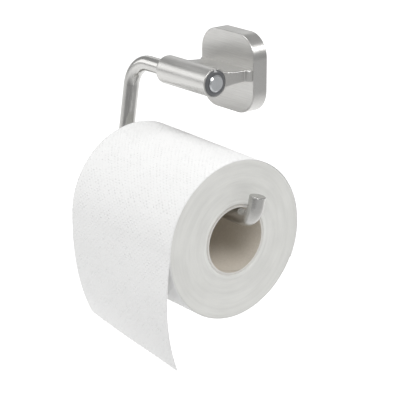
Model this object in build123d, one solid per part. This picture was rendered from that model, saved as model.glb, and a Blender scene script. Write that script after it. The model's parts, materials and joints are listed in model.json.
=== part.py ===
from build123d import *
from math import cos, radians, sin, sqrt, tan
import os

# Wall-hung toilet paper holder with one swinging arm, and the roll that hangs on it.
# Millimetres. +Z is up and +Y goes into the wall. The origin is the middle of the
# wall bracket's back, on the wall's surface, so the holder stands out towards -Y.

# ---------------------------------------------------------------- driving dimensions
# Rosette: the square cover against the wall
rosette_side = 50.0
rosette_corner_r = 14.8
rosette_depth = 10.6
rosette_wall = 1.6
rosette_edge_r = 0.8

# Post: the flat neck and the barrel at its end, one casting
barrel_reach = 37.5  # wall to the barrel's axis
barrel_d = 18.0
barrel_overhang = 7.4  # how far it runs past the neck, on the arm's side
barrel_round_r = 3.6  # rounded shoulder where the arm leaves the barrel
barrel_rim_r = 0.4
neck_margin = 1.0  # rosette's edge to the flared foot
neck_root_thick = 7.2  # where it meets the rosette
neck_barrel_thick = 11.4  # where it meets the barrel
neck_z = 0.7
neck_edge_r = 0.9
neck_overlap = 1.5  # how far its curved faces run into the barrel
foot_flare_r = 3.4  # concave flare of the neck's sides at the rosette

# Arm: a round steel rod with three bends
rod_d = 10.0
arm_x = -59.5  # the drop's axis
arm_drop = 70.0  # barrel axis to the carrying run's axis
arm_lean = 8.5  # degrees that the drop stands out from the wall at its foot
carrier_droop = 1.65  # degrees
drop_space = 17.5  # drop's axis to the roll's left end
tip_space = 12.85  # roll's right end to the tip's axis
tip_rise = 15.8
tip_splay = 4.1  # degrees from upright
elbow_r = 16.0
tip_bend_r = 9.6
rod_end_edge = 0.5

# Pivot inside the barrel
journal_d = 8.0
barrel_wall = 2.0
barrel_end_wall = 3.0
bush_length = 10.0
screw_space = 3.8  # arm's screw to the seat ring
thrust_washer_thick = 1.0
wave_washer_thick = 0.6
end_washer_thick = 1.4
lock_washer_thick = 1.2
screw_d = 5.0
screw_length = 12.0
screw_head_d = 9.2
screw_head_height = 2.8
hex_socket_r = 1.6
hex_socket_depth = 1.7

# End of the barrel: the dark seat ring and the cap in it
seat_rim = 0.9  # barrel's wall round the ring
seat_depth = 5.0
seat_crown = 0.7
cap_d = 10.6
cap_proud = 1.8
cap_bevel = 0.8
cap_length = 5.6

# Wall bracket and what fixes the post and the rosette to it
bracket_width = 28.0
bracket_sheet = 2.5
top_space = 3.4  # web's top to the rosette's inside
foot_space = 4.9
lip_space = 1.5  # lips' ends to the inside of the rosette's front
hook_side_space = 1.2  # hook's sides to where the rosette's inner corners begin
foot_width = 22.0
wall_hole_d = 4.8
wall_hole_spacing = 20.0
post_screw_d = 4.0
post_screw_spacing = 22.0
post_screw_grip = 6.0  # thread in the neck
post_head_d = 7.0
post_head_height = 2.4
post_washer_d = 8.0
post_washer_thick = 0.8
grub_d = 4.0
grub_edge = 0.3  # left of the foot in front of the grub screw
grub_boss_d = 8.4
grub_sunk = 0.4

# Roll
roll_d = 99.4
roll_width = 98.0
roll_turned_out = 10.1  # degrees from straight under the rod, pushed out by the wall
core_bore_d = 41.0
core_wall = 1.3
sheet_thick = 0.6
sheet_hang = 75.0  # below the level of the roll's axis
sheet_curl_r = 230.0
sheet_wrap = 205.0  # degrees of its last turn on the roll, over the top to the back

# Clearances
running_gap = 0.05  # radial, a shaft in its bush
thread_gap = 0.05  # radial, a screw in its tapped hole
screw_clearance = 0.3  # diametral, a screw in a plain hole
axial_play = 0.15
rod_hole_gap = 0.25  # radial, the rod in the barrel's end wall
hook_gap = 0.2
core_gap = 0.3
sheet_gap = 0.35

# ---------------------------------------------------------------- worked out
half_side = rosette_side / 2
inner_half = half_side - rosette_wall
front_y = -rosette_depth
pocket_y = front_y + rosette_wall
bracket_top = inner_half - top_space
bracket_foot = inner_half - foot_space
bracket_lip = rosette_depth - rosette_wall - lip_space
hook_width = 2 * (inner_half - (rosette_corner_r - rosette_wall) - hook_side_space)
grub_y = -bracket_lip + grub_d / 2 + grub_edge
neck_width = rosette_side - 2 * (foot_flare_r + neck_margin)
barrel_length = neck_width + barrel_overhang
barrel_r = barrel_d / 2
bore_d = barrel_d - 2 * barrel_wall
seat_d = barrel_d - 2 * seat_rim
barrel_right = neck_width / 2
barrel_left = barrel_right - barrel_length
bore_left = barrel_left + barrel_end_wall
rod_r = rod_d / 2
screw_end = barrel_right - seat_depth - screw_space
journal_end = screw_end - screw_head_height - lock_washer_thick - end_washer_thick
outer_bush_right = journal_end - axial_play - wave_washer_thick
outer_bush_left = outer_bush_right - bush_length
inner_bush_left = bore_left + thrust_washer_thick + axial_play
core_r = core_bore_d / 2
paper_r = roll_d / 2
paper_bore_r = core_r + core_wall
hang_drop = core_r - rod_r - core_gap  # rod's axis to roll's axis

lean = radians(arm_lean)
droop = radians(carrier_droop)
roll_x = arm_x + drop_space + roll_width / 2
carrier_length = (drop_space + roll_width + tip_space) / cos(droop)
arm_up = Vector(0, sin(lean), cos(lean))
run_dir = Vector(1, 0, 0) * cos(droop) - arm_up * sin(droop)
arm_plane = Plane(origin=(0, -barrel_reach, 0), x_dir=(1, 0, 0), z_dir=(0, -cos(lean), sin(lean)))
lower_elbow = Vector(arm_x, -barrel_reach, 0) - arm_up * arm_drop
roll_turn = radians(roll_turned_out)
rod_over_roll = lower_elbow + run_dir * ((roll_x - arm_x) / cos(droop))
roll_centre = rod_over_roll + Vector(0, -sin(roll_turn), -cos(roll_turn)) * hang_drop
roll_left = roll_centre - run_dir * (roll_width / 2)


def along_x(x, y=-barrel_reach, z=0.0):
    """Plane that faces +X, for round pieces on an axis along X."""
    return Plane(origin=(x, y, z), x_dir=(0, 1, 0), z_dir=(1, 0, 0))


def rod_piece(plane, diameter, length, bore=0.0):
    """Straight round bar or tube from the plane, along its normal."""
    piece = extrude(plane * Circle(diameter / 2), length)
    if bore:
        piece -= extrude(plane * Circle(bore / 2), length)
    return piece


def rounded_square(half, corner_r, depth_from, depth_to):
    """Upright rounded square, from one Y to another."""
    face = Plane.XZ * RectangleRounded(2 * half, 2 * half, corner_r)
    return Pos(0, depth_to, 0) * extrude(face, depth_to - depth_from)


def front_edges(piece, y):
    return piece.edges().filter_by(lambda e: abs(e.center().Y - y) < 1e-4)


# ---------------------------------------------------------------- wall side
def wall_bracket():
    """Folded steel plate: the web lies on the wall, the lips hold the rosette."""
    web_height = bracket_top + bracket_foot
    web_middle = (bracket_top - bracket_foot) / 2
    web = Pos(0, -bracket_sheet / 2, web_middle) * Box(bracket_width, bracket_sheet, web_height)
    web = fillet(web.edges().filter_by(Axis.Y), 2.0)
    hook_top = inner_half - hook_gap
    tab_height = hook_top - bracket_top + bracket_sheet
    tab = Pos(0, -bracket_sheet / 2, hook_top - tab_height / 2) * Box(hook_width, bracket_sheet, tab_height)
    hook = Pos(0, -bracket_lip / 2, hook_top - bracket_sheet / 2) * Box(hook_width, bracket_lip, bracket_sheet)
    foot_z = -bracket_foot + bracket_sheet / 2
    foot = Pos(0, -bracket_lip / 2, foot_z) * Box(foot_width, bracket_lip, bracket_sheet)
    bracket = web + tab + hook + foot
    for z in (-wall_hole_spacing / 2, wall_hole_spacing / 2):
        bracket -= Pos(0, -bracket_sheet / 2, z) * Rot(90, 0, 0) * Cylinder(wall_hole_d / 2, 3 * bracket_sheet)
    dimple = Pos(0, grub_y, -bracket_foot) * Cylinder(grub_d / 2 + 0.3, 1.0)
    return bracket - dimple


def rosette():
    """Hollow square cover with rounded corners and a tapped boss for the grub screw."""
    shell = rounded_square(half_side, rosette_corner_r, front_y, 0)
    shell = fillet(front_edges(shell, front_y), rosette_edge_r)
    hollow = rounded_square(inner_half, rosette_corner_r - rosette_wall, pocket_y, 1.0)
    shell -= hollow
    boss_top = -bracket_foot - hook_gap
    boss = Pos(0, grub_y, (boss_top - inner_half) / 2) * Cylinder(grub_boss_d / 2, boss_top + inner_half)
    boss &= rounded_square(inner_half, rosette_corner_r - rosette_wall, pocket_y, -0.5)
    shell += boss
    shell -= Pos(0, grub_y, -inner_half) * Cylinder(grub_d / 2, 12)
    for x in (-post_screw_spacing / 2, post_screw_spacing / 2):
        hole = Pos(x, front_y, neck_z) * Rot(90, 0, 0) * Cylinder((post_screw_d + screw_clearance) / 2, 6)
        shell -= hole
    return shell


def post():
    """Flat neck with a flared foot, and the barrel that carries the arm's pivot."""
    root, tip = neck_root_thick / 2, neck_barrel_thick / 2
    neck_end = -barrel_reach + sqrt(barrel_r**2 - (tip + neck_z) ** 2) - neck_overlap
    # the neck's side, seen along X: it thickens in a curve towards the barrel
    middle_y = (front_y + neck_end) / 2
    swell = root + 0.18 * (tip - root)
    with BuildSketch(Plane.YZ) as side:
        with BuildLine():
            top = ThreePointArc(
                (front_y, neck_z + root), (middle_y, neck_z + swell), (neck_end, neck_z + tip)
            )
            low = ThreePointArc(
                (front_y, neck_z - root), (middle_y, neck_z - swell), (neck_end, neck_z - tip)
            )
            Line(top @ 0, low @ 0)
            Polyline(top @ 1, (-barrel_reach, neck_z + tip / 2), (-barrel_reach, neck_z - tip / 2), low @ 1)
        make_face()
    slab = extrude(side.sketch, rosette_side, both=True)
    half = neck_width / 2
    flare = foot_flare_r
    neck_back = -barrel_reach - barrel_r
    with BuildSketch(Plane.XY) as plan:
        with BuildLine():
            Line((-half - flare, front_y), (half + flare, front_y))
            RadiusArc((half + flare, front_y), (half, front_y - flare), flare)
            Polyline((half, front_y - flare), (half, neck_back), (-half, neck_back), (-half, front_y - flare))
            RadiusArc((-half, front_y - flare), (-half - flare, front_y), flare)
        make_face()
    outline = extrude(plan.sketch, barrel_d, both=True)
    neck = slab & outline
    long_edges = neck.edges().filter_by(
        lambda e: e.center().Y < front_y - 0.2
        and e.center().Y > -barrel_reach + 0.2
        and abs(e.center().X) > half - 0.5
    )
    neck = fillet(long_edges, neck_edge_r)
    barrel = rod_piece(along_x(barrel_left), barrel_d, barrel_length)
    left_rim = barrel.edges().filter_by(lambda e: abs(e.center().X - barrel_left) < 1e-4)
    barrel = fillet(left_rim, barrel_round_r)
    right_rim = barrel.edges().filter_by(lambda e: abs(e.center().X - barrel_right) < 1e-4)
    barrel = fillet(right_rim, barrel_rim_r)
    barrel -= rod_piece(along_x(bore_left), bore_d, barrel_length)
    barrel -= rod_piece(along_x(barrel_left - 1), rod_d + 2 * rod_hole_gap, barrel_end_wall + 2)
    barrel -= rod_piece(along_x(barrel_right - seat_depth), seat_d, seat_depth + 1)
    # the neck ends inside the barrel's wall, so it leaves the bore and the seat clear
    neck_end_d = (barrel_d + seat_d) / 2
    neck -= rod_piece(along_x(barrel_left), neck_end_d, barrel_length + 1)
    body = barrel + neck
    for x in (-post_screw_spacing / 2, post_screw_spacing / 2):
        hole_depth = post_screw_grip + 1.0
        body -= Pos(x, front_y, neck_z) * Rot(90, 0, 0) * Cylinder(post_screw_d / 2, 2 * hole_depth)
    return body


def post_screws():
    """Two pan-head screws from inside the rosette into the neck."""
    screws = []
    under_head = pocket_y + post_washer_thick
    length = post_washer_thick + rosette_wall + post_screw_grip
    for x in (-post_screw_spacing / 2, post_screw_spacing / 2):
        back = Plane(origin=(x, under_head + post_head_height, neck_z), x_dir=(1, 0, 0), z_dir=(0, -1, 0))
        head = extrude(back * Circle(post_head_d / 2), post_head_height)
        head = fillet(front_edges(head, under_head + post_head_height), 0.8)
        shank = extrude(back * Circle(post_screw_d / 2 - thread_gap), post_head_height + length)
        slot = extrude(back * Rectangle(1.2, 4.2), 1.2) + extrude(back * Rectangle(4.2, 1.2), 1.2)
        screws.append(head + shank - slot)
    return Compound(children=screws)


def post_washers():
    washers = []
    for x in (-post_screw_spacing / 2, post_screw_spacing / 2):
        plane = Plane(origin=(x, pocket_y + post_washer_thick, neck_z), x_dir=(1, 0, 0), z_dir=(0, -1, 0))
        washers.append(rod_piece(plane, post_washer_d, post_washer_thick, post_screw_d + screw_clearance))
    return Compound(children=washers)


def grub_screw():
    """Hexagon-socket set screw, up through the rosette's underside against the bracket's foot."""
    bottom = -half_side + grub_sunk
    top = -bracket_foot
    screw = Pos(0, grub_y, (bottom + top) / 2) * Cylinder(grub_d / 2 - thread_gap, top - bottom)
    screw = chamfer(screw.edges().filter_by(lambda e: abs(e.center().Z - top) < 1e-4), 0.5)
    socket = Plane(origin=(0, grub_y, bottom)) * RegularPolygon(1.15, 6)
    return screw - extrude(socket, 2.0)


# ---------------------------------------------------------------- pivot
def bush(left):
    return rod_piece(along_x(left), bore_d, bush_length, journal_d + 2 * running_gap)


def thrust_washer():
    return rod_piece(along_x(bore_left), bore_d - 0.4, thrust_washer_thick, journal_d + 2 * running_gap)


def wave_washer():
    """Spring washer that takes up the arm's end play."""
    return rod_piece(along_x(outer_bush_right), bore_d - 1.0, wave_washer_thick, journal_d + 4 * running_gap)


def end_washer():
    return rod_piece(along_x(journal_end), bore_d - 0.8, end_washer_thick, screw_d + screw_clearance)


def lock_washer():
    """Split ring under the screw's head."""
    left = journal_end + end_washer_thick
    ring = rod_piece(along_x(left), screw_head_d - 0.4, lock_washer_thick, screw_d + screw_clearance)
    split = Pos(left + lock_washer_thick / 2, -barrel_reach, screw_head_d / 2) * Box(6, 0.8, screw_head_d)
    return ring - split


def arm_screw():
    """Button-head screw that holds the arm in the barrel."""
    head_left = journal_end + end_washer_thick + lock_washer_thick
    head = rod_piece(along_x(head_left), screw_head_d, screw_head_height)
    right_edge = head.edges().filter_by(lambda e: abs(e.center().X - head_left - screw_head_height) < 1e-4)
    head = fillet(right_edge, 1.6)
    shank_left = head_left - screw_length
    shank = rod_piece(along_x(shank_left), screw_d - 2 * thread_gap, screw_length)
    socket = extrude(along_x(head_left + screw_head_height) * RegularPolygon(hex_socket_r, 6), -hex_socket_depth)
    return head + shank - socket


# ---------------------------------------------------------------- arm
def hanger_rod():
    """Bent round rod: pivot journal, elbow, drop, elbow, carrying run and upturned tip."""
    shoulder_x = bore_left - axial_play
    tip_dir = Vector(sin(radians(tip_splay)), cos(radians(tip_splay)))
    run_end = Vector(arm_x + carrier_length * cos(droop), -arm_drop - carrier_length * sin(droop))
    tip_end = run_end + tip_dir * tip_rise
    corners = [(shoulder_x, 0), (arm_x, 0), (arm_x, -arm_drop), (run_end.X, run_end.Y), (tip_end.X, tip_end.Y)]
    with BuildLine(arm_plane) as centre_line:
        FilletPolyline(*corners, radius=[elbow_r, elbow_r, tip_bend_r])
    path = centre_line.line
    section = Plane(origin=path @ 0, z_dir=path % 0) * Circle(rod_r)
    rod = sweep(section, path=path)
    tip_middle = path @ 1
    round_edges = rod.edges().filter_by(GeomType.CIRCLE)
    tip_edge = round_edges.filter_by(lambda e: (e.arc_center - tip_middle).length < 1e-3)
    rod = fillet(tip_edge, rod_end_edge)
    rod += rod_piece(along_x(shoulder_x - 1.0), journal_d, journal_end - shoulder_x + 1.0)
    thread_depth = screw_length - end_washer_thick - lock_washer_thick + 1.5
    rod -= rod_piece(along_x(journal_end - thread_depth), screw_d, thread_depth + 1)
    return rod


# ---------------------------------------------------------------- end of the barrel
def seat_ring():
    """Dark ring pressed into the barrel's open end, its face rising to the cap."""
    left = barrel_right - seat_depth
    ring = rod_piece(along_x(left), seat_d, seat_depth - 0.2)
    crown = extrude(along_x(barrel_right - 0.2) * Circle(seat_d / 2), seat_crown, taper=60)
    return ring + crown - rod_piece(along_x(left - 1), cap_d, seat_depth + 4)


def end_cap():
    right = barrel_right + cap_proud
    cap = rod_piece(along_x(right - cap_length), cap_d, cap_length)
    return chamfer(cap.edges().filter_by(lambda e: abs(e.center().X - right) < 1e-4), cap_bevel)


# ---------------------------------------------------------------- roll
def roll_plane():
    """Plane on the roll's left end, facing along its axis, with its y axis up."""
    normal = run_dir
    sideways = Vector(0, 1, 0)
    return Plane(origin=roll_left, x_dir=sideways - normal * sideways.dot(normal), z_dir=normal)


def cardboard_core():
    return rod_piece(roll_plane(), 2 * paper_bore_r, roll_width, core_bore_d)


def paper_roll():
    ring = rod_piece(roll_plane(), roll_d, roll_width, 2 * paper_bore_r)
    outer = ring.edges().filter_by(lambda e: e.geom_type == GeomType.CIRCLE and e.radius > roll_d / 2 - 0.1)
    return fillet(outer, 0.8)


def loose_sheet():
    """Outer turn of the paper: it lies on the roll over the top, leaves it in front and
    hangs free, curling back a little."""
    inner_r = paper_r + sheet_gap
    outer_r = inner_r + sheet_thick
    wrap = radians(sheet_wrap)
    curl = sheet_hang / sheet_curl_r

    def on_roll(r, angle):
        """Point at an angle up from the front, in the plane of Y and Z from the roll's axis."""
        return (-r * cos(angle), r * sin(angle))

    def hanging(r, angle):
        """Point of the free end, which bends about a distant centre behind it."""
        bend_r = sheet_curl_r + r - inner_r
        return (sheet_curl_r - inner_r - bend_r * cos(angle), -bend_r * sin(angle))

    with BuildSketch(Plane(origin=roll_left, x_dir=(0, 1, 0), z_dir=(1, 0, 0))) as profile:
        with BuildLine():
            ThreePointArc(on_roll(inner_r, wrap), on_roll(inner_r, wrap / 2), on_roll(inner_r, 0))
            ThreePointArc(hanging(inner_r, 0), hanging(inner_r, curl / 2), hanging(inner_r, curl))
            Line(hanging(inner_r, curl), hanging(outer_r, curl))
            ThreePointArc(hanging(outer_r, curl), hanging(outer_r, curl / 2), hanging(outer_r, 0))
            ThreePointArc(on_roll(outer_r, 0), on_roll(outer_r, wrap / 2), on_roll(outer_r, wrap))
            Line(on_roll(outer_r, wrap), on_roll(inner_r, wrap))
        make_face()
    return extrude(profile.sketch, roll_width / cos(droop), dir=run_dir)


pieces = {
    "wall_bracket": wall_bracket(),
    "rosette": rosette(),
    "post": post(),
    "post_screws": post_screws(),
    "post_washers": post_washers(),
    "rosette_grub_screw": grub_screw(),
    "inner_bush": bush(inner_bush_left),
    "outer_bush": bush(outer_bush_left),
    "thrust_washer": thrust_washer(),
    "wave_washer": wave_washer(),
    "hanger_rod": hanger_rod(),
    "arm_end_washer": end_washer(),
    "arm_lock_washer": lock_washer(),
    "arm_screw": arm_screw(),
    "seat_ring": seat_ring(),
    "end_cap": end_cap(),
    "cardboard_core": cardboard_core(),
    "paper_roll": paper_roll(),
    "loose_sheet": loose_sheet(),
}

os.makedirs("parts", exist_ok=True)
for name, piece in pieces.items():
    piece.label = name
    export_step(piece, f"parts/{name}.step")

print("roll centre", roll_centre)
print("rod over roll", rod_over_roll)
print("run direction", run_dir)
print("barrel", barrel_left, barrel_right, "journal end", journal_end)
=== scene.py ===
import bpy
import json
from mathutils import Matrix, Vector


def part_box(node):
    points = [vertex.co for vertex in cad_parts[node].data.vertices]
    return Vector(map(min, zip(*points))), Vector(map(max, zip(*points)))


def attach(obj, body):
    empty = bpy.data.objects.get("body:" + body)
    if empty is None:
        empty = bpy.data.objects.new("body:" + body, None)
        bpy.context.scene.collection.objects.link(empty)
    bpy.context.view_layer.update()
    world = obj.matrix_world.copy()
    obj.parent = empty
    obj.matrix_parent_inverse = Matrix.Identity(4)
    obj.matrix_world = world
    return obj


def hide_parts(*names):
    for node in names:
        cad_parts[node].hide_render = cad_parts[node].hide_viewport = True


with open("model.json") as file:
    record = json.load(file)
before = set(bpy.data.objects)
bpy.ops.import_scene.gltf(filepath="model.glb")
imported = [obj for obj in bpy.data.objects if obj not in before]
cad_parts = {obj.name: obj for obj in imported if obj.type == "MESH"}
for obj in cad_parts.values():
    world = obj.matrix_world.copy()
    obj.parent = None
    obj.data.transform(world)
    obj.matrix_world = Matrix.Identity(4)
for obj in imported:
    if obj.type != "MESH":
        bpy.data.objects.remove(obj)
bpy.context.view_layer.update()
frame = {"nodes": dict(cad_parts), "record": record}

import json
from math import cos, pi, radians, sin, sqrt

import bmesh
import bpy
from mathutils import Matrix, Vector

# ------------------------------------------------------------------ camera
# It stands to the right of the holder and a little above it, with a long lens.
camera = bpy.data.objects.new("camera", bpy.data.cameras.new("camera"))
bpy.context.scene.collection.objects.link(camera)
camera.location = (0.839, -0.725, 0.274)
camera.rotation_euler = (radians(90 - 18.03), 0, radians(50.46))
camera.data.sensor_width = 36
camera.data.lens = 164.5
bpy.context.scene.camera = camera


# ------------------------------------------------------------------ wall bracket
# A folded plate of zinc-plated steel, screwed to the wall behind the rosette. Its plating
# is smooth and cloudy, with the faint crystals that zinc shows.
class Wire:
    """One socket of a node tree. Arithmetic on it adds Math nodes to that tree."""

    def __init__(self, bench, socket):
        self.bench, self.socket = bench, socket

    def of(self, operation, *others):
        """This value put through a Math node, such as SINE or MAXIMUM."""
        return self.bench.add("ShaderNodeMath", {"operation": operation}, dict(enumerate((self, *others))))

    def from_(self, operation, other):
        """The same with this value second, for a plain number that comes first."""
        return self.bench.add("ShaderNodeMath", {"operation": operation}, {0: other, 1: self})

    def __add__(self, other):
        return self.of("ADD", other)

    def __sub__(self, other):
        return self.of("SUBTRACT", other)

    def __rsub__(self, other):
        return self.from_("SUBTRACT", other)

    def __mul__(self, other):
        return self.of("MULTIPLY", other)

    def __truediv__(self, other):
        return self.of("DIVIDE", other)

    __radd__, __rmul__ = __add__, __mul__

    def between(self, low, high):
        """0 below low, 1 above high, and a smooth step from one to the other."""
        sockets = {"Value": self, "From Min": low, "From Max": high}
        settings = {"interpolation_type": "SMOOTHSTEP"}
        return self.bench.add("ShaderNodeMapRange", settings, sockets)

    def also(self, output):
        """Another output of the same node."""
        return Wire(self.bench, self.socket.node.outputs[output])


class Bench:
    """A node tree being built."""

    def __init__(self, tree):
        self.tree = tree

    def add(self, kind, settings=None, sockets=None, output=0):
        """Adds a node, with its settings first and then a value or a Wire for each socket."""
        node = self.tree.nodes.new(kind)
        for name, setting in (settings or {}).items():
            setattr(node, name, setting)
        for key, value in (sockets or {}).items():
            if isinstance(value, Wire):
                self.tree.links.new(value.socket, node.inputs[key])
            else:
                node.inputs[key].default_value = value
        return Wire(self, node.outputs[output]) if node.outputs else None

    def mix(self, share, first, second):
        """Colour between first and second."""
        return self.add("ShaderNodeMix", {"data_type": "RGBA"}, {0: share, 6: first, 7: second}, output=2)

    def stretch(self, place, by):
        return self.add("ShaderNodeVectorMath", {"operation": "MULTIPLY"}, {0: place, 1: by})

    def noise(self, place, detail=2.0, roughness=0.5):
        sockets = {"Vector": place, "Scale": 1.0, "Detail": detail, "Roughness": roughness}
        return self.add("ShaderNodeTexNoise", None, sockets)

    def place(self):
        """Where a point is in the object's own coordinates, in metres."""
        return self.add("ShaderNodeTexCoord", output="Object")

    def dot(self, vector, axis):
        """How far a vector reaches along an axis."""
        sockets = {0: vector, 1: tuple(axis)}
        return self.add("ShaderNodeVectorMath", {"operation": "DOT_PRODUCT"}, sockets, output="Value")

    def join(self, *parts):
        """A vector from its parts."""
        return self.add("ShaderNodeCombineXYZ", None, dict(enumerate(parts)))

    def bump(self, height, depth):
        """Normal of a surface whose height runs over that depth in metres."""
        return self.add("ShaderNodeBump", None, {"Strength": 1.0, "Distance": depth, "Height": height})


def start_material(name):
    material = bpy.data.materials.new(name)
    material.use_nodes = True
    material.node_tree.nodes.clear()
    return material, Bench(material.node_tree)


def end_material(bench, sockets):
    shader = bench.add("ShaderNodeBsdfPrincipled", None, sockets)
    bench.add("ShaderNodeOutputMaterial", None, {"Surface": shader})


def cover(node, material):
    """Gives a CAD node its finish."""
    slots = frame["nodes"][node].data.materials
    slots.clear()
    slots.append(material)


def plated(name, dark, light, rough):
    """Plated or blackened steel: cloudy, with fine crystals."""
    material, bench = start_material(name)
    place = bench.place()
    cloud = bench.noise(bench.stretch(place, (260, 260, 260)), detail=3.0)
    cells = bench.add("ShaderNodeTexVoronoi", None, {"Vector": place, "Scale": 1400.0})
    shade = cloud * 0.7 + cells * 0.3
    end_material(bench, {
        "Base Color": bench.mix(shade, (*dark, 1), (*light, 1)),
        "Metallic": 1.0,
        "Roughness": rough + cloud * 0.12,
        "Normal": bench.bump(cells + cloud, 0.00001),
    })
    return material


zinc = plated("zinc_plating", (0.50, 0.51, 0.50), (0.72, 0.72, 0.69), 0.26)
cover("wall_bracket", zinc)


# ------------------------------------------------------------------ rosette
# The square cover, pressed from stainless steel and brushed from side to side. It hooks
# over the bracket's upper lip and a grub screw locks it from below.
def brushed(name, lines, tone=1.0, rough=0.27):
    """Brushed stainless steel; lines gives the grain's fineness along X, Y and Z, per metre."""
    material, bench = start_material(name)
    place = bench.place()
    grain = bench.noise(bench.stretch(place, lines), detail=4.0, roughness=0.6)
    finish_steel(bench, place, grain, tone, rough)
    return material


def finish_steel(bench, place, grain, tone, rough, drawn=0.35):
    cloud = bench.noise(bench.stretch(place, (45, 45, 45)), detail=2.0)
    dark = (0.47 * tone, 0.465 * tone, 0.45 * tone, 1)
    light = (0.66 * tone, 0.655 * tone, 0.64 * tone, 1)
    end_material(bench, {
        "Base Color": bench.mix(grain.between(0.2, 0.8) * 0.6 + cloud * 0.4, dark, light),
        "Metallic": 1.0,
        "Roughness": rough + grain * 0.12 + cloud * 0.05,
        "Anisotropic": drawn,
        "Normal": bench.bump(grain, 0.000012),
    })


side_brushed = brushed("side_brushed_steel", (70, 2600, 2600))
cover("rosette", side_brushed)
cover("rosette_grub_screw", zinc)

# ------------------------------------------------------------------ post
# Neck and barrel are one casting, ground and then brushed along the barrel.
cover("post", side_brushed)

# ------------------------------------------------------------------ screws and washers
# Zinc-plated pan-head screws and flat washers hold the rosette to the neck; the arm's own
# screw sits on a washer and a split ring of spring steel inside the barrel.
spring_steel = plated("spring_steel", (0.16, 0.16, 0.17), (0.34, 0.34, 0.35), 0.30)
for node in ("post_screws", "post_washers", "arm_screw", "arm_end_washer"):
    cover(node, zinc)
for node in ("arm_lock_washer", "wave_washer"):
    cover(node, spring_steel)


# ------------------------------------------------------------------ bushes
# Two sleeves and a thrust washer of natural acetal, in which the arm turns.
def moulded(name, colour, rough, coat=0.0):
    """Moulded plastic with a fine spark-eroded texture."""
    material, bench = start_material(name)
    place = bench.place()
    pits = bench.noise(bench.stretch(place, (2200, 2200, 2200)), detail=3.0)
    cloud = bench.noise(bench.stretch(place, (120, 120, 120)))
    darker = tuple(0.86 * c for c in colour)
    end_material(bench, {
        "Base Color": bench.mix(cloud, (*darker, 1), (*colour, 1)),
        "Roughness": rough + pits * 0.15,
        "Coat Weight": coat,
        "Normal": bench.bump(pits, 0.00001),
    })
    return material


acetal = moulded("acetal", (0.82, 0.81, 0.77), 0.42)
for node in ("inner_bush", "outer_bush", "thrust_washer"):
    cover(node, acetal)

# ------------------------------------------------------------------ arm
# One 10 mm stainless rod, bent three times and drawn to a satin finish along its length,
# with a journal turned on the end that goes into the barrel.
joints = {joint["name"]: joint for joint in frame["record"]["behaviour"]["joints"]}
pivot = Vector(joints["arm_swing"]["pos_m"])
run = Vector(joints["roll_hang"]["axis"]).normalized()
spin_centre = Vector(joints["roll_spin"]["pos_m"])


def reach(node, centre, axis):
    """A node's least and greatest distance from an axis, and where it begins and ends along it."""
    away, along = [], []
    for vertex in frame["nodes"][node].data.vertices:
        offset = vertex.co - centre
        along.append(offset.dot(axis))
        away.append((offset - axis * along[-1]).length)
    return min(away), max(away), min(along), max(along)


rod_d = 0.010


def satin_rod():
    """Satin steel whose fine lines follow the rod: along X on its two runs, upright on the drop."""
    material, bench = start_material("satin_rod")
    place = bench.place()
    level = bench.noise(bench.stretch(place, (60, 2400, 2400)), detail=3.0)
    upright = bench.noise(bench.stretch(place, (2400, 2400, 60)), detail=3.0)
    drop_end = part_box("hanger_rod")[0].x + rod_d * 0.8
    on_run = bench.dot(place, (1, 0, 0)).between(drop_end, drop_end + rod_d)
    grain = on_run * level + (1.0 - on_run) * upright
    finish_steel(bench, place, grain, 0.9, 0.14, drawn=0.0)
    return material


cover("hanger_rod", satin_rod())

# ------------------------------------------------------------------ end of the barrel
# A dark plastic ring is pressed into the barrel, and a bright cap snaps into the ring.
cover("seat_ring", moulded("dark_plastic", (0.10, 0.103, 0.11), 0.24, coat=0.5))


ring_pitch = 0.0002618


def turned(name, colour, centre):
    """Plated disc with the fine rings that turning leaves."""
    material, bench = start_material(name)
    place = bench.place()
    disc = {0: bench.stretch(place, (0, 1, 1)), 1: (0, centre.y, centre.z)}
    from_axis = bench.add("ShaderNodeVectorMath", {"operation": "DISTANCE"}, disc, output="Value")
    rings = (from_axis * (2 * pi / ring_pitch)).of("SINE")
    cloud = bench.noise(bench.stretch(place, (300, 300, 300)))
    darker = tuple(0.85 * c for c in colour)
    end_material(bench, {
        "Base Color": bench.mix(cloud, (*darker, 1), (*colour, 1)),
        "Metallic": 1.0,
        "Roughness": 0.16 + cloud * 0.1,
        "Normal": bench.bump(rings, 0.000002),
    })
    return material


cover("end_cap", turned("turned_plating", (0.66, 0.68, 0.70), pivot))

# ------------------------------------------------------------------ cardboard core
# A tube wound from strips of grey-brown board on a slant, so its seams run round it as a
# spiral. Its cut ends are fuzzy.
seam_lead = 0.0625  # along the core in one turn


def round_roll(bench):
    """Where a point is on the roll: along its axis, its angle round it and its distance from it."""
    place = bench.place()
    sockets = {0: place, 1: tuple(spin_centre)}
    offset = bench.add("ShaderNodeVectorMath", {"operation": "SUBTRACT"}, sockets)
    side = run.cross(Vector((0, 0, 1))).normalized()
    up = side.cross(run)
    along, across, above = (bench.dot(offset, axis) for axis in (run, side, up))
    away = (across * across + above * above).of("SQRT")
    return place, along, above.of("ARCTAN2", across), away


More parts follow.
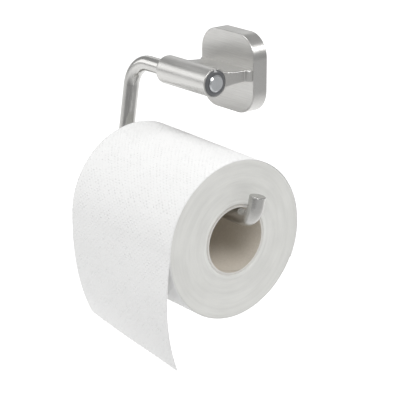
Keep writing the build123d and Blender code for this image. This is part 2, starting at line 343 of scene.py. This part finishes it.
material, bench = start_material("core_board")
place, along, angle, away = round_roll(bench)
pulp = bench.noise(bench.stretch(place, (700, 700, 700)), detail=5.0, roughness=0.65)
strip = (along / seam_lead + angle / (2 * pi)).of("FRACT")
seam = (strip - 0.5).of("ABSOLUTE").between(0.0, 0.02)
shade = pulp * 0.55 + seam * 0.45
outward = bench.add("ShaderNodeTexCoord", output="Normal")
facing = bench.dot(outward, run)
cut_end = facing.of("ABSOLUTE").between(0.5, 0.9)
board = bench.mix(shade, (0.45, 0.40, 0.335, 1), (0.76, 0.71, 0.63, 1))
cut_board = bench.mix(pulp, (0.56, 0.545, 0.515, 1), (0.72, 0.71, 0.68, 1))
end_material(bench, {
    "Base Color": bench.mix(cut_end, board, cut_board),
    "Roughness": 0.82,
    "Specular IOR Level": 0.25,
    "Normal": bench.bump(pulp * 0.5 + seam * 0.5, 0.00012),
})
cover("cardboard_core", material)

# ------------------------------------------------------------------ paper roll
# Two-ply tissue wound tightly on the core. Its ends are the cut faces of several hundred
# turns, some a little proud, with a soft outer edge. The paper is embossed with dots.
paper_bore_r, paper_r, paper_start, paper_end = reach("paper_roll", spin_centre, run)
dot_pitch = 0.0032
leaf_width = 0.024
leaf_length = 0.019


def embossing(bench, across, along_sheet):
    """Height of the embossed pattern at a place on the paper: rows of dots, higher in leaf shapes."""
    dots = (across * (2 * pi / dot_pitch)).of("SINE") * (along_sheet * (2 * pi / dot_pitch)).of("SINE")
    leaf = (across * (pi / leaf_width)).of("SINE").of("ABSOLUTE") * 0.5
    band = (along_sheet / leaf_length + leaf).of("FRACT")
    inside = (band - 0.5).of("ABSOLUTE").between(0.12, 0.26)
    pressed = bench.noise(bench.join(across * 260.0, along_sheet * 420.0)).between(0.35, 0.62)
    return dots.between(-0.1, 1.0) * (inside * 0.3 + 0.7) * pressed


def paper_colour(bench, share, dark=0.83, light=0.91, warm=0.995):
    return bench.mix(share, (dark, dark, dark * warm, 1), (light, light, light * warm, 1))


soft_paper = {"Roughness": 0.95, "Specular IOR Level": 0.15}

wound_tissue, bench = start_material("wound_tissue")
place, along, angle, away = round_roll(bench)
fibre = bench.noise(bench.stretch(place, (900, 900, 900)), detail=6.0, roughness=0.7)
cloud = bench.noise(bench.stretch(place, (60, 60, 60)), detail=3.0)
outward = bench.add("ShaderNodeTexCoord", output="Normal")
facing = bench.dot(outward, run)
on_end = facing.of("ABSOLUTE").between(0.55, 0.9)
turned_by = (angle.of("SINE") * 1.5, angle.of("COSINE") * 1.5)
bands = bench.noise(bench.join(away * 330.0, *turned_by), detail=4.0)
turns = bench.noise(bench.join(away * 2400.0, *turned_by), detail=2.0)
lip = (away - (paper_bore_r + 0.0016)).of("ABSOLUTE").between(0.0016, 0.0006)
end_relief = bands * 0.5 + turns * 0.25 + lip * 0.7
side_relief = embossing(bench, along, angle * paper_r)
end_tone = (bands * 0.55 + turns * 0.15 + cloud * 0.3).between(0.3, 0.7)
end_colour = paper_colour(bench, end_tone * 0.8 + lip * 0.4, 0.65, 0.76, warm=0.965)
end_material(bench, {
    **soft_paper,
    "Base Color": bench.mix(on_end, paper_colour(bench, fibre * 0.5 + cloud * 0.5), end_colour),
    "Normal": bench.bump(on_end * end_relief + (1.0 - on_end) * side_relief + fibre * 0.2, 0.00022),
})


def shape(name, start, nodes_of, inputs):
    """A piece made by Geometry Nodes from a starting mesh. nodes_of(bench, value) adds the
    nodes and returns their geometry; value(title) is one of the modifier's own inputs."""
    tree = bpy.data.node_groups.new(name, "GeometryNodeTree")
    tree.interface.new_socket("Start", in_out="INPUT", socket_type="NodeSocketGeometry")
    for title, setting in inputs.items():
        kind = {float: "NodeSocketFloat", int: "NodeSocketInt"}.get(type(setting), "NodeSocketMaterial")
        tree.interface.new_socket(title, in_out="INPUT", socket_type=kind)
    tree.interface.new_socket("Geometry", in_out="OUTPUT", socket_type="NodeSocketGeometry")
    bench = Bench(tree)
    value = bench.add("NodeGroupInput").also
    made = bench.add("GeometryNodeRealizeInstances", None, {0: nodes_of(bench, value)})
    made = bench.add("GeometryNodeSetMaterial", None, {"Geometry": made, "Material": value("Material")})
    bench.add("NodeGroupOutput", None, {0: made})
    maker = bpy.data.objects.new(name + "_maker", start)
    bpy.context.scene.collection.objects.link(maker)
    modifier = maker.modifiers.new("shape", "NODES")
    modifier.node_group = tree
    for item in tree.interface.items_tree:
        if item.in_out == "INPUT" and item.name in inputs:
            modifier[item.identifier] = inputs[item.name]
    graph = bpy.context.evaluated_depsgraph_get()
    mesh = bpy.data.meshes.new_from_object(maker.evaluated_get(graph), depsgraph=graph)
    mesh.name = name
    maker.modifiers.clear()
    bpy.data.objects.remove(maker)
    piece = bpy.data.objects.new(name, mesh)
    bpy.context.scene.collection.objects.link(piece)
    return piece


def wind(bench, value):
    """A rounded rectangle swept round a circle; its ends are then uneven, as turns of paper are."""
    middle = (value("Outer radius") + value("Bore radius")) / 2.0
    height = value("Outer radius") - value("Bore radius")
    circle = bench.add("GeometryNodeCurvePrimitiveCircle", None, {"Resolution": 240, "Radius": middle})
    sides = {"Width": height, "Height": value("Width")}
    outline = bench.add("GeometryNodeCurvePrimitiveQuadrilateral", None, sides)
    rounded = bench.add("GeometryNodeFilletCurve", {"mode": "POLY"}, {
        "Curve": outline, "Radius": value("Edge radius"), "Count": 5,
    })
    outline = bench.add("GeometryNodeResampleCurve", None, {"Curve": rounded, "Count": 300})
    ring = bench.add("GeometryNodeCurveToMesh", None, {"Curve": circle, "Profile Curve": outline})
    place = bench.add("GeometryNodeInputPosition")
    slow = bench.add("ShaderNodeTexNoise", None, {"Vector": place, "Scale": 38.0, "Detail": 1.0})
    apart = bench.add("ShaderNodeSeparateXYZ", None, {0: place}, output=2)
    end = (apart.of("ABSOLUTE") / (value("Width") / 2.0)).between(0.97, 1.0)
    lift = (slow - 0.5) * end * apart.of("SIGN") * value("Unevenness")
    offset = bench.join(0.0, 0.0, lift)
    moved = bench.add("GeometryNodeSetPosition", None, {"Geometry": ring, "Offset": offset})
    return bench.add("GeometryNodeSetShadeSmooth", None, {"Geometry": moved, "Shade Smooth": True})


roll = shape("wound_paper", bpy.data.meshes.new("nothing"), wind, {
    "Width": paper_end - paper_start,
    "Outer radius": paper_r,
    "Bore radius": paper_bore_r,
    "Edge radius": 0.0003,
    "Unevenness": 0.0006,
    "Material": wound_tissue,
})
roll.data.transform(Matrix.Translation(spin_centre) @ run.to_track_quat("Z", "Y").to_matrix().to_4x4())
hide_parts("paper_roll")
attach(roll, "roll")

# ------------------------------------------------------------------ loose sheet
# The outer turn of the roll: it lies over the top from behind, leaves the roll in front
# and hangs free. Its torn end curls back, more on the arm's side than at the free side.
paper_width = paper_end - paper_start
sheet_r = paper_r + 0.00013
sheet_thick = 0.00018
wrap = radians(205)
hang = 0.0742
tear_short = 0.0016  # on the arm's side
tear_slant = 0.0030  # longer at the free side
tear_teeth = 0.0003
wallward = Vector((0, 0, 1)).cross(run).normalized()
up = run.cross(wallward)


def curl(depth, share):
    """How far the free end has come back towards the wall, at a depth below the roll's axis
    and a share of the width from the arm's side."""
    arm_side = 0.0153 * (depth / 0.071) ** 2.6
    free_side = 0.0066 * (depth / 0.073) ** 3.2 - 0.0026 * sin(pi * depth / 0.080)
    ripple = 0.0005 * sin(5.2 * share + 40 * depth) * min(1.0, depth / 0.03)
    return arm_side + (free_side - arm_side) * share + ripple


def sheet_columns(across, rows_on_roll, rows_free):
    """The middle of the sheet, column by column: each is a list of (point, length along the paper)."""
    columns = []
    for i in range(across + 1):
        share = i / across
        base = spin_centre + run * (paper_start + paper_width * share)
        column = []
        for k in range(rows_on_roll):
            angle = wrap * (1 - k / rows_on_roll)
            column.append((base + (up * sin(angle) - wallward * cos(angle)) * sheet_r, -angle * sheet_r))
        torn = hang - tear_short + tear_slant * share + (tear_teeth if (i // 2) % 2 else 0.0)
        step, depth, length, done = 0.0001, 0.0, 0.0, 0
        while done <= rows_free:
            if length >= torn * done / rows_free - 1e-9:
                column.append((base - wallward * (sheet_r - curl(depth, share)) - up * depth, length))
                done += 1
            slope = (curl(depth + step, share) - curl(depth, share)) / step
            depth += step / sqrt(1 + slope * slope)
            length += step
        columns.append(column)
    return columns


def thicken(name, columns, thickness, width_m):
    """A closed thin piece from columns of points, with a UV map in metres."""
    rows, count = len(columns[0]), len(columns)
    work = bmesh.new()
    uv = work.loops.layers.uv.new("paper")
    layers = []
    for shift in (thickness / 2, -thickness / 2):
        layer = []
        for i, column in enumerate(columns):
            line = []
            for k, (point, length) in enumerate(column):
                ahead = columns[min(i + 1, count - 1)][k][0] - columns[max(i - 1, 0)][k][0]
                down = column[min(k + 1, rows - 1)][0] - column[max(k - 1, 0)][0]
                normal = down.cross(ahead).normalized()
                vertex = work.verts.new(point + normal * shift)
                line.append((vertex, (width_m * i / (count - 1), length)))
            layer.append(line)
        layers.append(layer)

    def face(corners):
        made = work.faces.new([vertex for vertex, at in corners])
        made.smooth = True
        for loop, (vertex, at) in zip(made.loops, corners):
            loop[uv].uv = at

    front, back = layers
    for i in range(count - 1):
        for k in range(rows - 1):
            face((front[i][k], front[i][k + 1], front[i + 1][k + 1], front[i + 1][k]))
            face((back[i][k], back[i + 1][k], back[i + 1][k + 1], back[i][k + 1]))
    for i in range(count - 1):
        face((front[i][0], front[i + 1][0], back[i + 1][0], back[i][0]))
        face((front[i][-1], back[i][-1], back[i + 1][-1], front[i + 1][-1]))
    for k in range(rows - 1):
        face((front[0][k], back[0][k], back[0][k + 1], front[0][k + 1]))
        face((front[-1][k], front[-1][k + 1], back[-1][k + 1], back[-1][k]))
    bmesh.ops.recalc_face_normals(work, faces=work.faces)
    mesh = bpy.data.meshes.new(name)
    work.to_mesh(mesh)
    piece = bpy.data.objects.new(name, mesh)
    bpy.context.scene.collection.objects.link(piece)
    return piece


sheet_tissue, bench = start_material("sheet_tissue")
spread = bench.add("ShaderNodeUVMap", {"uv_map": "paper"})
place = bench.place()
fibre = bench.noise(bench.stretch(place, (900, 900, 900)), detail=6.0, roughness=0.7)
cloud = bench.noise(bench.stretch(place, (60, 60, 60)), detail=3.0)
across = bench.add("ShaderNodeSeparateXYZ", None, {0: spread})
relief = embossing(bench, across, across.also(1))
end_material(bench, {
    **soft_paper,
    "Base Color": paper_colour(bench, fibre * 0.5 + cloud * 0.5),
    "Normal": bench.bump(relief + fibre * 0.15, 0.0003),
})

columns = sheet_columns(across=98, rows_on_roll=150, rows_free=70)
sheet = thicken("hanging_paper", columns, sheet_thick, paper_width)
sheet.data.materials.append(sheet_tissue)
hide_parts("loose_sheet")
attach(sheet, "hanging_sheet")
wrap * sheet_r + hang

# ------------------------------------------------------------------ studio
# A pale floor well below the holder that glows on the far side, as a lit white sweep does,
# and soft lights: one overhead, two on the left and two on the right.
floor_z = -0.32
floor_reach = 9.0
floor_mesh = bpy.data.meshes.new("floor")
floor_corners = [(x * floor_reach, y * floor_reach, floor_z) for x, y in ((-1, -1), (1, -1), (1, 1), (-1, 1))]
floor_mesh.from_pydata(floor_corners, [], [(0, 1, 2, 3)])
floor = bpy.data.objects.new("floor", floor_mesh)
bpy.context.scene.collection.objects.link(floor)
floor_paint, bench = start_material("floor_paint")
place = bench.place()
cloud = bench.noise(bench.stretch(place, (3, 3, 3)))
apart = bench.add("ShaderNodeSeparateXYZ", None, {0: place})
glow = (apart * 0.95 - apart.also(1) * 0.3).between(0.5, -0.27)
end_material(bench, {
    "Base Color": bench.mix(cloud, (0.60, 0.60, 0.60, 1), (0.64, 0.64, 0.64, 1)),
    "Roughness": 0.95,
    "Specular IOR Level": 0.0,
    "Emission Color": bench.mix(glow, (0.02, 0.02, 0.02, 1), (1, 1, 1, 1)),
    "Emission Strength": 0.76,
})
floor_mesh.materials.append(floor_paint)


def softbox(name, place, size, watts, towards=(0, -0.05, -0.05)):
    light = bpy.data.lights.new(name, "AREA")
    light.shape, light.size, light.size_y, light.energy = "RECTANGLE", size[0], size[1], watts
    lamp = bpy.data.objects.new(name, light)
    bpy.context.scene.collection.objects.link(lamp)
    lamp.location = place
    lamp.rotation_mode = "QUATERNION"
    lamp.rotation_quaternion = (Vector(towards) - Vector(place)).to_track_quat("-Z", "Y")


softbox("overhead", (-0.25, -0.3, 1.7), (0.8, 0.8), 9)
softbox("front_left", (-1.3, -0.95, 0.55), (1.0, 0.8), 3.8)
softbox("behind_left", (-1.3, 1.0, 0.75), (0.9, 0.7), 1.2)
softbox("right", (1.2, -0.6, 1.15), (0.6, 0.6), 13.3)
softbox("right_behind", (1.1, 1.1, 0.9), (0.35, 0.35), 5)

world = bpy.data.worlds.new("studio")
world.use_nodes = True
world.node_tree.nodes["Background"].inputs["Color"].default_value = (1, 1, 1, 1)
world.node_tree.nodes["Background"].inputs["Strength"].default_value = 0.45
bpy.context.scene.world = world
bpy.context.scene.view_settings.view_transform = "Standard"
